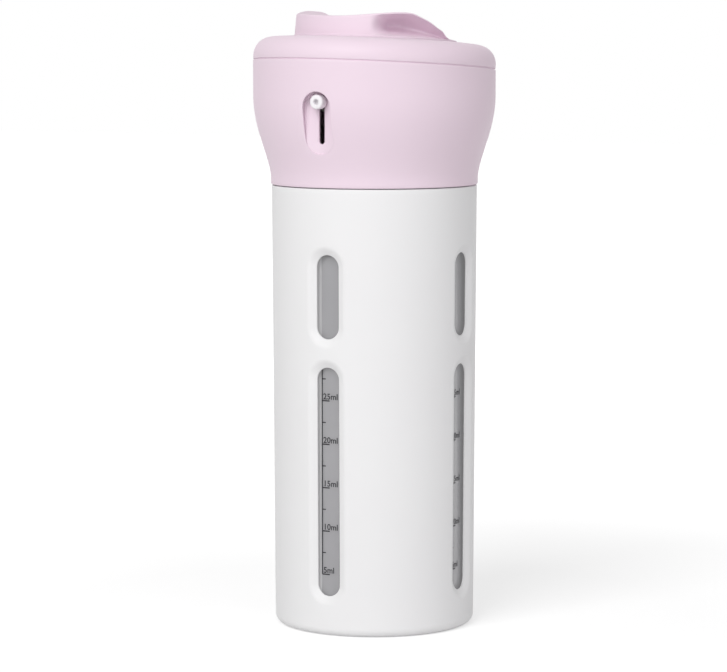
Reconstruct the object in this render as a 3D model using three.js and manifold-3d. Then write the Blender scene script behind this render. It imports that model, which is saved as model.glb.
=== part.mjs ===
// Travel dispenser bottle: a windowed sleeve that holds four refill bottles, under a pump head
// whose knob is turned to choose a bottle and pressed to dispense from it.
// Sizes are in millimetres and angles in degrees, with +Z up.
// The origin is the centre of the base, and the spout faces -Y.
import * as THREE from 'three';
import { mergeVertices } from 'three/addons/utils/BufferGeometryUtils.js';
import Module from 'manifold-3d';

const wasm = await Module();
wasm.setup();

// Clearances
const SEAT_GAP = 0.3;
const TURN_GAP = 0.6;
const KNOB_GAP = 1;

// Sleeve
const SLEEVE_BASE_RADIUS = 34.95;
const SLEEVE_TOP_RADIUS = 35.9;
const SLEEVE_HEIGHT = 154.5;
const SLEEVE_WALL = 2;
const SLEEVE_FLOOR = 2;
const SLEEVE_CORNER = 3;
const FOOT_RECESS = 0.8;
const FOOT_RING_WIDTH = 4;

// Windows, one above the other on each of four sides
const WINDOW_WIDTH = 8.6;
const LOW_WINDOW_BOTTOM = 13.7;
const WINDOW_BRIDGE = 9.7;
const HIGH_WINDOW_HEIGHT = 29;
const HIGH_WINDOW_DROP = 22.6;
const WINDOW_SIDES = 4;
const FLARE_RADIUS = 3.6;
const FLARE_START = 20;
const FRAME_WIDTH = 2.2;
const FRAME_DEPTH = 3.5;

// Ring in the sleeve's mouth, over which the head's skirt plugs
const COLLAR_WALL = 1.3;
const COLLAR_DEPTH = 8;
const COLLAR_RISE = 8;

// Refill bottles and what closes them
const BOTTLE_COUNT = 4;
const BOTTLE_RADIUS = 11.5;
const BOTTLE_CIRCLE = 20;
const BOTTLE_WALL = 1.2;
const BOTTLE_CORNER = 2.2;
const NECK_RADIUS = 7.2;
const NECK_RISE = 5.5;
const NECK_HEIGHT = 9.3;
const CAP_WALL = 1.3;
const CAP_TOP = 2;
const SEAL_THICKNESS = 0.8;
const TUBE_RADIUS = 1.5;
const TUBE_BORE = 0.9;
const TUBE_END_GAP = 1.8;
const BOTTLE_FACES = 24;

// Head shell, from its skirt up to the slanted seam under the lid
const HEAD_NECK_RADIUS = 36.2;
const HEAD_RADIUS = 42.3;
const HEAD_WALL = 1.9;
const HEAD_HEIGHT = 42;
const SKIRT_HEIGHT = 2;
const FLARE_HEIGHT = 29;
const FLARE_LOW_PULL = 7;
const FLARE_HIGH_PULL = 12;
const SEAM_TILT = 3.45;
const SEAM_LOW_SIDE = 165;
const LEDGE_RISE = 1.3;

// Spout recess and the slit that the spout travels in
const RECESS_HALF_WIDTH = 5.3;
const RECESS_ABOVE_SPOUT = 3.5;
const RECESS_BELOW_SPOUT = 17.9;
const RECESS_DEPTH = 3.8;
const RECESS_WALL = 1.6;
const SLIT_WIDTH = 2.1;
const PRESS_TRAVEL = 11;

// Lid, measured up from the seam
const LID_HEIGHT = 10;
const LID_DOME = 0.8;
const LID_SHOULDER = 6.5;
const LID_WALL = 1.9;
const LID_PLUG_DEPTH = 3;
const LID_PLUG_WALL = 1.6;
const LID_COLLAR_WALL = 1.5;
const LID_COLLAR_DEPTH = 7;

// Knob
const KNOB_RADIUS = 28.5;
const KNOB_PLATE = 1.3;
const KNOB_TAPER = 0.36;
const KNOB_DISH = 3;
const KNOB_SKIRT_WALL = 1.5;
const KNOB_SKIRT_DEPTH = 6;
const HUB_WALL = 2;
const HUB_DEPTH = 11.5;
const TONGUE_WIDTH = 4;
const TONGUE_REACH = 3.2;
const SCOOP_AZIMUTH = 62;
const SCOOP_HALF_WIDTH = 9;
const SCOOP_RISE = 1.5;
const SCOOP_DEPTH = 11;

// Pump deck, manifold and valve
const DECK_DEPTH = 9;
const DECK_FLOOR = 2.2;
const DECK_WALL = 1.6;
const DECK_FLANGE = 1.8;
const SOCKET_WALL = 1.3;
const SOCKET_DEPTH = 8;
const MANIFOLD_HEIGHT = 3.4;
const MANIFOLD_RADIUS = 13;
const CHANNEL_RADIUS = 1;
const PORT_CIRCLE = 5.6;
const VALVE_RADIUS = 8.7;
const VALVE_THICKNESS = 1.8;
const VALVE_COLUMN_RADIUS = 4.3;
const VALVE_COLUMN_RISE = 16;

// Pump
const BARREL_RADIUS = 10.8;
const BARREL_WALL = 1.5;
const BARREL_HEIGHT = 17.3;
const BARREL_FOOT_RADIUS = 14;
const BARREL_FOOT = 1.6;
const PLUNGER_RADIUS = 7.6;
const PLUNGER_BORE = 4.9;
const PISTON_LIP = 1.4;
const PISTON_HEIGHT = 1.6;
const SPRING_RADIUS = 12;
const SPRING_WIRE = 0.55;
const SPRING_TURNS = 5.5;
const SPRING_FLANGE_RADIUS = 13.4;
const SPRING_FLANGE = 1.6;
const BODY_RADIUS = 10.5;
const BODY_TOP_DEPTH = 3.9;
const POST_RADIUS = 7.4;
const POST_BORE = 5.3;
const POST_RISE = 6.5;
const ARM_RADIUS = 3.9;
const ARM_BORE = 1.6;
const ARM_SETBACK = 5.1;
const SOCKET_LENGTH = 3.6;
const PLUG_RADIUS = 2.7;
const SHAFT_WIDTH = 3.5;
const SHAFT_CUP_RADIUS = 4.5;
const SHAFT_CUP_DEPTH = 5;
const SHAFT_CUP_HEIGHT = 7.5;
const SHAFT_OVERLAP = 4.2;
const BALL_RADIUS = 1.1;

// Spout nozzle
const NOZZLE_RADIUS = 2.45;
const NOZZLE_LENGTH = 3.2;
const NOZZLE_BORE = 0.95;
const WEB_WIDTH = 1.5;
const WEB_HEIGHT = 3.6;
const WEB_BORE = 0.4;

const ROUND_FACES = 48;
const SMALL_FACES = 20;

// Sizes that follow from the ones above
const collarRadius = SLEEVE_TOP_RADIUS - SLEEVE_WALL - SEAT_GAP;
const skirtBore = collarRadius + SEAT_GAP;
const ledgeHeight = SLEEVE_HEIGHT + COLLAR_RISE + LEDGE_RISE;
const sleeveFloorTop = FOOT_RECESS + SLEEVE_FLOOR;
const highWindowTop = SLEEVE_HEIGHT - HIGH_WINDOW_DROP;
const highWindowBottom = highWindowTop - HIGH_WINDOW_HEIGHT;
const lowWindowTop = highWindowBottom - WINDOW_BRIDGE;
const bottleBottom = sleeveFloorTop + SEAT_GAP;
const capRadius = NECK_RADIUS + SEAT_GAP + CAP_WALL;
const deckFloorHeight = SLEEVE_HEIGHT - DECK_DEPTH;
const capTop = deckFloorHeight - SEAT_GAP;
const capUnderside = capTop - CAP_TOP;
const neckTop = capUnderside - SEAL_THICKNESS - 2 * SEAT_GAP;
const neckBottom = neckTop - NECK_HEIGHT;
const bottleShoulder = neckBottom - NECK_RISE;
const seamHeight = SLEEVE_HEIGHT + HEAD_HEIGHT;
const flareBottom = SLEEVE_HEIGHT + SKIRT_HEIGHT;
const flareTop = flareBottom + FLARE_HEIGHT;
const deckRadius = collarRadius - COLLAR_WALL - 2 * SEAT_GAP;
const manifoldBottom = deckFloorHeight + DECK_FLOOR + SEAT_GAP;
const manifoldTop = manifoldBottom + MANIFOLD_HEIGHT;
const valveSealBottom = manifoldTop + SEAT_GAP;
const valveBottom = valveSealBottom + SEAL_THICKNESS + SEAT_GAP;
const valveTop = valveBottom + VALVE_THICKNESS;
const columnTop = valveTop + VALVE_COLUMN_RISE;
const barrelTop = valveSealBottom + BARREL_HEIGHT;
const bodyBottom = barrelTop + PRESS_TRAVEL + SEAT_GAP;
const plungerBottom = valveTop + PRESS_TRAVEL + TURN_GAP;
const spoutHeight = bodyBottom + ARM_RADIUS;
const recessFloor = HEAD_RADIUS - RECESS_DEPTH;
const armReach = recessFloor - ARM_SETBACK;
const nozzleReach = recessFloor + SEAT_GAP + NOZZLE_LENGTH;
const recessBottom = spoutHeight - RECESS_BELOW_SPOUT;
const recessTop = spoutHeight + RECESS_ABOVE_SPOUT;
const shaftCupBottom = seamHeight - SHAFT_CUP_DEPTH;
const knobUnderside = LID_HEIGHT - SEAT_GAP;
const openingRadius = KNOB_RADIUS + KNOB_GAP;

// Frame of the lid and knob: its origin is on the axis at the seam, and it leans to the seam's low side
const lidFrame = new THREE.Matrix4();
{
  const side = THREE.MathUtils.degToRad(SEAM_LOW_SIDE);
  const hingeLine = new THREE.Vector3(Math.cos(side), Math.sin(side), 0);
  lidFrame.makeRotationAxis(hingeLine, THREE.MathUtils.degToRad(SEAM_TILT));
  lidFrame.setPosition(0, 0, seamHeight);
}

// Solid modelling helpers

function toSolid(geometry) {
  const bare = geometry.clone();
  bare.deleteAttribute('normal');
  bare.deleteAttribute('uv');
  const merged = mergeVertices(bare, 1e-4);
  return new wasm.Manifold(new wasm.Mesh({
    numProp: 3,
    vertProperties: new Float32Array(merged.attributes.position.array),
    triVerts: new Uint32Array(merged.index.array),
  }));
}

function toGeometry(solid) {
  const mesh = solid.getMesh();
  const geometry = new THREE.BufferGeometry();
  geometry.setAttribute('position', new THREE.BufferAttribute(mesh.vertProperties, 3));
  geometry.setIndex(new THREE.BufferAttribute(mesh.triVerts, 1));
  geometry.computeVertexNormals();
  return geometry;
}

function join(...geometries) {
  return toGeometry(geometries.map(toSolid).reduce((whole, solid) => whole.add(solid)));
}

function cut(geometry, ...tools) {
  return toGeometry(tools.map(toSolid).reduce((rest, tool) => rest.subtract(tool), toSolid(geometry)));
}

function common(geometry, other) {
  return toGeometry(toSolid(geometry).intersect(toSolid(other)));
}

// A profile of [radius, height] points, turned round the Z axis
function revolve(profile, faces = ROUND_FACES) {
  const points = profile.map(([radius, height]) => new THREE.Vector2(radius, height));
  if (THREE.ShapeUtils.isClockWise(points)) points.reverse();
  const closed = points.every((point) => point.x > 0);
  if (closed) points.push(points[0].clone());
  return new THREE.LatheGeometry(points, faces).rotateX(Math.PI / 2);
}

function disc(radius, bottom, top, faces = ROUND_FACES) {
  return revolve([[0, bottom], [radius, bottom], [radius, top], [0, top]], faces);
}

function ring(inner, outer, bottom, top, faces = ROUND_FACES) {
  return revolve([[inner, bottom], [outer, bottom], [outer, top], [inner, top]], faces);
}

function box(width, depth, bottom, top) {
  return new THREE.BoxGeometry(width, depth, top - bottom).translate(0, 0, (bottom + top) / 2);
}

// A round bar along -Y, from one distance in front of the axis to another
function forwardBar(radius, from, to, height, faces = SMALL_FACES) {
  const bar = new THREE.CylinderGeometry(radius, radius, to - from, faces);
  return bar.translate(0, -(from + to) / 2, height);
}

function arcPoints(centreRadius, centreHeight, radius, startAngle, endAngle, steps) {
  return Array.from({ length: steps + 1 }, (_, step) => {
    const angle = THREE.MathUtils.degToRad(startAngle + ((endAngle - startAngle) * step) / steps);
    return [centreRadius + radius * Math.cos(angle), centreHeight + radius * Math.sin(angle)];
  });
}

// A solid through rings that all have the same number of points, closed flat at both ends
function loft(rings) {
  const count = rings[0].length;
  const positions = rings.flat(2);
  const middles = [rings[0], rings.at(-1)].map((points) =>
    points.reduce((sum, point) => sum.map((value, axis) => value + point[axis] / count), [0, 0, 0]));
  positions.push(...middles.flat());
  const firstMiddle = rings.length * count;
  const indices = [];
  for (let i = 0; i < count; i += 1) {
    const next = (i + 1) % count;
    for (let level = 0; level + 1 < rings.length; level += 1) {
      const low = level * count;
      const high = low + count;
      indices.push(low + i, low + next, high + next, low + i, high + next, high + i);
    }
    const last = (rings.length - 1) * count;
    indices.push(firstMiddle, next, i, firstMiddle + 1, last + i, last + next);
  }
  const geometry = new THREE.BufferGeometry();
  geometry.setAttribute('position', new THREE.Float32BufferAttribute(positions, 3));
  geometry.setIndex(indices);
  return geometry;
}

// An upright outline with round ends, as [x, z] points seen from the front
function oblongOutline(halfWidth, bottom, top, arcSteps) {
  const low = arcPoints(0, bottom + halfWidth, halfWidth, 180, 360, arcSteps);
  const high = arcPoints(0, top - halfWidth, halfWidth, 0, 180, arcSteps);
  return [...low, ...high];
}

function oblongShape(halfWidth, bottom, top) {
  return new THREE.Shape(oblongOutline(halfWidth, bottom, top, 8).map(([x, z]) => new THREE.Vector2(x, z)));
}

// An upright outline pushed forward from one distance in front of the axis to another
function forwardPrism(shape, from, to) {
  const prism = new THREE.ExtrudeGeometry(shape, { depth: to - from, bevelEnabled: false });
  return prism.rotateX(Math.PI / 2).translate(0, -from, 0);
}

// Sleeve

function sleeveRadius(height) {
  return THREE.MathUtils.lerp(SLEEVE_BASE_RADIUS, SLEEVE_TOP_RADIUS, height / SLEEVE_HEIGHT);
}

// An oblong tool bent round the sleeve: each step gives how far it stands off the window's edge
// and how deep it lies under the sleeve's outer face
function windowTool(bottom, top, steps) {
  return loft(steps.map(({ offset, depth }) =>
    oblongOutline(WINDOW_WIDTH / 2 + offset, bottom - offset, top + offset, 6).map(([x, z]) => {
      const reach = sleeveRadius(z) - depth;
      return [x, -Math.sqrt(reach * reach - x * x), z];
    })));
}

function windowFrame(bottom, top) {
  return windowTool(bottom, top, [
    { offset: FRAME_WIDTH, depth: FRAME_DEPTH },
    { offset: FRAME_WIDTH, depth: SLEEVE_WALL / 2 },
  ]);
}

function windowHole(bottom, top) {
  const flareSteps = 4;
  const start = THREE.MathUtils.degToRad(FLARE_START);
  const steps = [{ offset: 0, depth: FRAME_DEPTH + 2 }];
  for (let step = flareSteps; step >= 0; step -= 1) {
    const angle = THREE.MathUtils.lerp(start, Math.PI / 2, step / flareSteps);
    steps.push({
      offset: FLARE_RADIUS * (1 - Math.sin(angle)),
      depth: FLARE_RADIUS * (Math.cos(start) - Math.cos(angle)),
    });
  }
  const rim = steps.at(-1);
  const runOut = 0.8;
  steps.push({ offset: rim.offset + runOut / Math.tan(start), depth: -runOut });
  return windowTool(bottom, top, steps);
}

function outerSleeve() {
  const footRadius = SLEEVE_BASE_RADIUS - SLEEVE_CORNER;
  const recessRadius = footRadius - FOOT_RING_WIDTH;
  const outside = revolve([
    [0, FOOT_RECESS],
    [recessRadius, FOOT_RECESS],
    [recessRadius + FOOT_RECESS, 0],
    ...arcPoints(footRadius, SLEEVE_CORNER, SLEEVE_CORNER, -90, 0, 5),
    [SLEEVE_TOP_RADIUS, SLEEVE_HEIGHT],
    [0, SLEEVE_HEIGHT],
  ]);
  const inside = revolve([
    [0, sleeveFloorTop],
    [SLEEVE_BASE_RADIUS - SLEEVE_WALL - 1, sleeveFloorTop],
    [SLEEVE_BASE_RADIUS - SLEEVE_WALL, sleeveFloorTop + 1],
    [SLEEVE_TOP_RADIUS - SLEEVE_WALL, SLEEVE_HEIGHT],
    [SLEEVE_TOP_RADIUS - SLEEVE_WALL, SLEEVE_HEIGHT + 1],
    [0, SLEEVE_HEIGHT + 1],
  ]);
  const spans = [[LOW_WINDOW_BOTTOM, lowWindowTop], [highWindowBottom, highWindowTop]];
  const frames = [];
  const holes = [];
  for (let side = 0; side < WINDOW_SIDES; side += 1) {
    const turn = (side * 2 * Math.PI) / WINDOW_SIDES;
    for (const [bottom, top] of spans) {
      frames.push(windowFrame(bottom, top).rotateZ(turn));
      holes.push(windowHole(bottom, top).rotateZ(turn));
    }
  }
  return cut(join(cut(outside, inside), ...frames), ...holes);
}

function sleeveCollar() {
  return ring(collarRadius - COLLAR_WALL, collarRadius,
    SLEEVE_HEIGHT - COLLAR_DEPTH, SLEEVE_HEIGHT + COLLAR_RISE);
}

// Refill bottles, each modelled on the Z axis and then moved to its place

function refillBottle() {
  const inner = BOTTLE_RADIUS - BOTTLE_WALL;
  const neckBore = NECK_RADIUS - BOTTLE_WALL;
  const shoulder = (radius, neck) => [
    [radius, bottleShoulder],
    [radius - 0.25 * (radius - neck), bottleShoulder + 0.62 * NECK_RISE],
    [radius - 0.6 * (radius - neck), bottleShoulder + 0.9 * NECK_RISE],
  ];
  return revolve([
    [0, bottleBottom],
    ...arcPoints(BOTTLE_RADIUS - BOTTLE_CORNER, bottleBottom + BOTTLE_CORNER, BOTTLE_CORNER, -90, 0, 3),
    ...shoulder(BOTTLE_RADIUS, NECK_RADIUS),
    [NECK_RADIUS, neckBottom],
    [NECK_RADIUS, neckTop],
    [neckBore, neckTop],
    [neckBore, neckBottom - BOTTLE_WALL],
    ...shoulder(inner, neckBore).map(([radius, height]) => [radius, height - BOTTLE_WALL]).reverse(),
    [inner, bottleBottom + BOTTLE_CORNER],
    [inner - BOTTLE_WALL, bottleBottom + BOTTLE_WALL],
    [0, bottleBottom + BOTTLE_WALL],
  ], BOTTLE_FACES);
}

function bottleCap() {
  const skirt = NECK_RADIUS + SEAT_GAP;
  return revolve([
    [TUBE_RADIUS + SEAT_GAP, capUnderside],
    [skirt, capUnderside],
    [skirt, neckBottom + SEAT_GAP],
    [capRadius, neckBottom + SEAT_GAP],
    [capRadius, capTop],
    [TUBE_RADIUS + SEAT_GAP, capTop],
  ], BOTTLE_FACES);
}

function neckSeal() {
  return ring(NECK_RADIUS - BOTTLE_WALL, NECK_RADIUS,
    neckTop + SEAT_GAP, neckTop + SEAT_GAP + SEAL_THICKNESS, SMALL_FACES);
}

function dipTube() {
  return ring(TUBE_BORE, TUBE_RADIUS,
    bottleBottom + BOTTLE_WALL + TUBE_END_GAP, manifoldBottom + MANIFOLD_HEIGHT / 2, 8);
}

// Head shell

function headRadius(share) {
  const curve = new THREE.CubicBezierCurve(
    new THREE.Vector2(HEAD_NECK_RADIUS, flareBottom),
    new THREE.Vector2(HEAD_NECK_RADIUS, flareBottom + FLARE_LOW_PULL),
    new THREE.Vector2(HEAD_RADIUS, flareTop - FLARE_HIGH_PULL),
    new THREE.Vector2(HEAD_RADIUS, flareTop),
  );
  const point = curve.getPoint(share);
  return [point.x, point.y];
}

function headShell() {
  const skirtBottom = SLEEVE_HEIGHT + SEAT_GAP;
  const shellTop = seamHeight + LID_PLUG_DEPTH + 2;
  const flareSteps = 8;
  const flare = Array.from({ length: flareSteps + 1 }, (_, step) => headRadius(step / flareSteps));
  const outside = revolve([
    [0, skirtBottom],
    [HEAD_NECK_RADIUS, skirtBottom],
    ...flare,
    [HEAD_RADIUS, shellTop],
    [0, shellTop],
  ]);
  const innerFlare = flare
    .filter(([, height]) => height > ledgeHeight)
    .map(([radius, height]) => [radius - HEAD_WALL, height]);
  const inside = revolve([
    [0, skirtBottom - 1],
    [skirtBore, skirtBottom - 1],
    [skirtBore, ledgeHeight],
    [innerFlare[0][0], ledgeHeight],
    ...innerFlare,
    [HEAD_RADIUS - HEAD_WALL, shellTop + 1],
    [0, shellTop + 1],
  ]);
  const pocket = common(outside, forwardPrism(
    oblongShape(RECESS_HALF_WIDTH + RECESS_WALL, recessBottom - RECESS_WALL, recessTop + RECESS_WALL),
    recessFloor - RECESS_WALL, HEAD_RADIUS + 1));
  const recess = forwardPrism(
    oblongShape(RECESS_HALF_WIDTH, recessBottom, recessTop), recessFloor, HEAD_RADIUS + 2);
  const slitRoom = WEB_HEIGHT / 2 + TURN_GAP;
  const slit = forwardPrism(
    oblongShape(SLIT_WIDTH / 2, spoutHeight - PRESS_TRAVEL - slitRoom - 1, spoutHeight + slitRoom),
    recessFloor - RECESS_WALL - 4, recessFloor + 1);
  const aboveSeam = box(4 * HEAD_RADIUS, 4 * HEAD_RADIUS, -SEAT_GAP, HEAD_RADIUS).applyMatrix4(lidFrame);
  return cut(join(cut(outside, inside), pocket), recess, slit, aboveSeam);
}

// Lid, in its own frame

function topLid() {
  const shoulderRadius = HEAD_RADIUS - LID_SHOULDER;
  const shoulderBase = LID_HEIGHT - LID_DOME - LID_SHOULDER;
  const innerRadius = HEAD_RADIUS - LID_WALL;
  const plugRadius = innerRadius - SEAT_GAP;
  return revolve([
    [HEAD_RADIUS, 0],
    ...arcPoints(shoulderRadius, shoulderBase, LID_SHOULDER, 0, 90, 5),
    [openingRadius + 0.5, LID_HEIGHT],
    [openingRadius, LID_HEIGHT - 0.5],
    [openingRadius, LID_HEIGHT - LID_COLLAR_DEPTH],
    [openingRadius + LID_COLLAR_WALL, LID_HEIGHT - LID_COLLAR_DEPTH],
    [openingRadius + LID_COLLAR_WALL, LID_HEIGHT - LID_DOME - LID_WALL],
    ...arcPoints(shoulderRadius, shoulderBase, LID_SHOULDER - LID_WALL, 90, 20, 3),
    [plugRadius - LID_PLUG_WALL, 0],
    [plugRadius - LID_PLUG_WALL, -LID_PLUG_DEPTH],
    [plugRadius, -LID_PLUG_DEPTH],
    [plugRadius, 0],
  ]);
}

// Knob, in the lid's frame: a low disc whose rim winds up to a curled pointer

// Rim heights over the base plate by azimuth, from the end of the pointer round to its tip
const rimStations = [
  [95, 0.15], [185, 0.3], [225, 4.2], [250, 6.1], [282, 5.2], [310, 4.2], [372, 4.3], [406, 6.7], [425, 5.3], [447, 1.3],
  [455, 0.15],
];

function rimHeight(azimuth) {
  const angle = azimuth < rimStations[0][0] ? azimuth + 360 : azimuth;
  const after = rimStations.findIndex(([station]) => station >= angle);
  if (after <= 0) return rimStations[0][1];
  const [low, high] = [rimStations[after - 1], rimStations[after]];
  const share = THREE.MathUtils.smoothstep(angle, low[0], high[0]);
  return THREE.MathUtils.lerp(low[1], high[1], share);
}

function knobTop() {
  const faces = 48;
  const plateTop = knobUnderside + KNOB_PLATE;
  const at = (radius, azimuth, height) => {
    const angle = THREE.MathUtils.degToRad(azimuth - 90);
    return [radius * Math.cos(angle), radius * Math.sin(angle), height];
  };
  const ringAt = (place) => Array.from({ length: faces }, (_, face) => {
    const azimuth = (face * 360) / faces;
    const [radius, height] = place(rimHeight(azimuth));
    return at(radius, azimuth, height);
  });
  const dished = (share, rise) => KNOB_DISH + (rise - KNOB_DISH) * share ** 2.2;
  const wallRadius = (rise) => KNOB_RADIUS - 0.3 - rise * KNOB_TAPER;
  return loft([
    ringAt(() => [KNOB_RADIUS - 0.3, knobUnderside]),
    ringAt(() => [KNOB_RADIUS, knobUnderside + 0.3]),
    ringAt(() => [KNOB_RADIUS, plateTop - 0.2]),
    ringAt(() => [KNOB_RADIUS - 0.3, plateTop]),
    ringAt((rise) => [wallRadius(0.85 * rise), plateTop + 0.85 * rise]),
    ringAt((rise) => [wallRadius(rise) - 0.5, plateTop + rise]),
    ...[0.92, 0.8, 0.62, 0.4, 0.15].map((share) =>
      ringAt((rise) => [wallRadius(rise) * share, plateTop + dished(share, rise)])),
  ]);
}

function selectorKnob() {
  const plateTop = knobUnderside + KNOB_PLATE;
  const hollowTop = plateTop - 0.1;
  const skirt = ring(KNOB_RADIUS - 0.3 - KNOB_SKIRT_WALL, KNOB_RADIUS - 0.3,
    knobUnderside - KNOB_SKIRT_DEPTH, hollowTop);
  const hubBore = POST_RADIUS + SEAT_GAP;
  const hub = ring(hubBore, hubBore + HUB_WALL, knobUnderside - HUB_DEPTH, hollowTop, SMALL_FACES);
  const tongue = box(TONGUE_WIDTH, TONGUE_WIDTH, -TONGUE_REACH, hollowTop);
  const scoopShape = new THREE.Shape();
  scoopShape.absellipse(0, 0, SCOOP_HALF_WIDTH, SCOOP_RISE, 0, Math.PI, false, 0);
  const scoop = forwardPrism(scoopShape, KNOB_RADIUS - SCOOP_DEPTH, KNOB_RADIUS + 2)
    .translate(0, 0, plateTop)
    .rotateZ(THREE.MathUtils.degToRad(SCOOP_AZIMUTH));
  return cut(join(knobTop(), skirt, hub, tongue), scoop);
}

// Pump deck, which hangs from the head's ledge and holds the bottles by their caps

function bottlePlaces() {
  return Array.from({ length: BOTTLE_COUNT }, (_, index) => (index * 2 * Math.PI) / BOTTLE_COUNT);
}

function atBottle(geometry, turn) {
  return geometry.translate(0, -BOTTLE_CIRCLE, 0).rotateZ(turn);
}

function pumpDeck() {
  const flangeBottom = ledgeHeight + SEAT_GAP;
  const flangeRadius = headBoreAt(flangeBottom) - SEAT_GAP;
  const cup = revolve([
    [0, deckFloorHeight],
    [deckRadius, deckFloorHeight],
    [deckRadius, flangeBottom],
    [flangeRadius, flangeBottom],
    [flangeRadius, flangeBottom + DECK_FLANGE],
    [deckRadius - DECK_WALL, flangeBottom + DECK_FLANGE],
    [deckRadius - DECK_WALL, deckFloorHeight + DECK_FLOOR],
    [0, deckFloorHeight + DECK_FLOOR],
  ]);
  const socketBore = capRadius + SEAT_GAP;
  const sockets = bottlePlaces().map((turn) => atBottle(ring(socketBore, socketBore + SOCKET_WALL,
    deckFloorHeight - SOCKET_DEPTH, deckFloorHeight + DECK_FLOOR / 2, BOTTLE_FACES), turn));
  const holes = bottlePlaces().map((turn) => atBottle(disc(TUBE_RADIUS + SEAT_GAP,
    deckFloorHeight - 1, deckFloorHeight + DECK_FLOOR + 1, 8), turn));
  return cut(join(cup, ...sockets), ...holes);
}

function headBoreAt(height) {
  const steps = 40;
  let share = 0;
  while (headRadius(share)[1] < height) share += 1 / steps;
  return headRadius(share - 1 / steps)[0] - HEAD_WALL;
}

// Manifold: four channels that bring each tube's flow under the valve

function manifold() {
  const armLength = BOTTLE_CIRCLE + 2 * TUBE_RADIUS + 1;
  const armWidth = 4 * TUBE_RADIUS + 1;
  const channelHeight = manifoldBottom + MANIFOLD_HEIGHT / 2;
  const arms = bottlePlaces().map((turn) =>
    box(armWidth, armLength, manifoldBottom, manifoldTop).translate(0, -armLength / 2, 0).rotateZ(turn));
  const sockets = bottlePlaces().map((turn) => atBottle(
    disc(TUBE_RADIUS + SEAT_GAP, manifoldBottom - 1, channelHeight + SEAT_GAP, 8), turn));
  const channels = bottlePlaces().map((turn) =>
    forwardBar(CHANNEL_RADIUS, PORT_CIRCLE, BOTTLE_CIRCLE, channelHeight, 8).rotateZ(turn));
  const ports = bottlePlaces().map((turn) =>
    disc(CHANNEL_RADIUS, channelHeight, manifoldTop + 1, 8).translate(0, -PORT_CIRCLE, 0).rotateZ(turn));
  const plate = disc(MANIFOLD_RADIUS, manifoldBottom, manifoldTop);
  return cut(join(plate, ...arms), ...sockets, ...channels, ...ports);
}

function valveSeal() {
  const ports = bottlePlaces().map((turn) =>
    disc(CHANNEL_RADIUS + SEAT_GAP, valveSealBottom - 1, valveBottom, 8)
      .translate(0, -PORT_CIRCLE, 0).rotateZ(turn));
  return cut(disc(VALVE_RADIUS, valveSealBottom, valveSealBottom + SEAL_THICKNESS), ...ports);
}

// The valve disc has one port, which the knob brings over a channel, and a square drive column
function valveDisc() {
  const plate = disc(VALVE_RADIUS, valveBottom, valveTop);
  const column = disc(VALVE_COLUMN_RADIUS, valveTop - 0.5, columnTop, SMALL_FACES);
  const driveBore = SHAFT_WIDTH + 2 * SEAT_GAP;
  const square = box(driveBore, driveBore, valveTop - 0.4, columnTop + 1);
  const port = disc(CHANNEL_RADIUS, valveBottom - 1, valveTop + 1, 8).translate(0, -PORT_CIRCLE - 0.8, 0);
  return cut(join(plate, column), square, port);
}

// Pump

function pumpBarrel() {
  const bore = BARREL_RADIUS - BARREL_WALL;
  return revolve([
    [bore, valveSealBottom],
    [BARREL_FOOT_RADIUS, valveSealBottom],
    [BARREL_FOOT_RADIUS, valveSealBottom + BARREL_FOOT],
    [BARREL_RADIUS, valveSealBottom + BARREL_FOOT],
    [BARREL_RADIUS, barrelTop],
    [bore, barrelTop],
  ], 32);
}

function pistonSeal() {
  return ring(PLUNGER_RADIUS + SEAT_GAP, PLUNGER_RADIUS + PISTON_LIP,
    plungerBottom + SEAT_GAP, plungerBottom + SEAT_GAP + PISTON_HEIGHT, 32);
}

function returnSpring() {
  const bottom = valveSealBottom + BARREL_FOOT + SEAT_GAP + SPRING_WIRE;
  const top = bodyBottom - SEAT_GAP - SPRING_WIRE;
  const stepsPerTurn = 14;
  const steps = SPRING_TURNS * stepsPerTurn;
  const points = Array.from({ length: steps + 1 }, (_, step) => {
    const angle = (step * 2 * Math.PI) / stepsPerTurn;
    const height = THREE.MathUtils.lerp(bottom, top, step / steps);
    return new THREE.Vector3(SPRING_RADIUS * Math.cos(angle), SPRING_RADIUS * Math.sin(angle), height);
  });
  const section = new THREE.Shape();
  section.absarc(0, 0, SPRING_WIRE, 0, 2 * Math.PI, false);
  return new THREE.ExtrudeGeometry(section, {
    curveSegments: 3,
    steps,
    extrudePath: new THREE.CatmullRomCurve3(points),
  });
}

// The carriage is what the knob presses down: plunger, spring flange, spout arm and slanted post
function pressCarriage() {
  const bodyTop = seamHeight - BODY_TOP_DEPTH;
  const body = revolve([
    [0, plungerBottom],
    [PLUNGER_RADIUS, plungerBottom],
    [PLUNGER_RADIUS, bodyBottom],
    [SPRING_FLANGE_RADIUS, bodyBottom],
    [SPRING_FLANGE_RADIUS, bodyBottom + SPRING_FLANGE],
    [BODY_RADIUS, bodyBottom + SPRING_FLANGE],
    [BODY_RADIUS, bodyTop],
    [0, bodyTop],
  ], 32);
  const post = disc(POST_RADIUS, -8, POST_RISE, 32).applyMatrix4(lidFrame);
  const arm = forwardBar(ARM_RADIUS, 0, armReach, spoutHeight);
  const cupRoom = shaftCupBottom - TURN_GAP;
  const plungerBore = disc(PLUNGER_BORE, plungerBottom - 1, cupRoom, SMALL_FACES);
  const postBore = disc(POST_BORE, cupRoom - 0.1, seamHeight + POST_RISE + 4, 32);
  const armBore = forwardBar(ARM_BORE, 0, armReach + 1, spoutHeight, 12);
  const socket = forwardBar(PLUG_RADIUS + SEAT_GAP, armReach - SOCKET_LENGTH, armReach + 1, spoutHeight);
  return cut(join(body, post, arm), plungerBore, postBore, armBore, socket);
}

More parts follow.
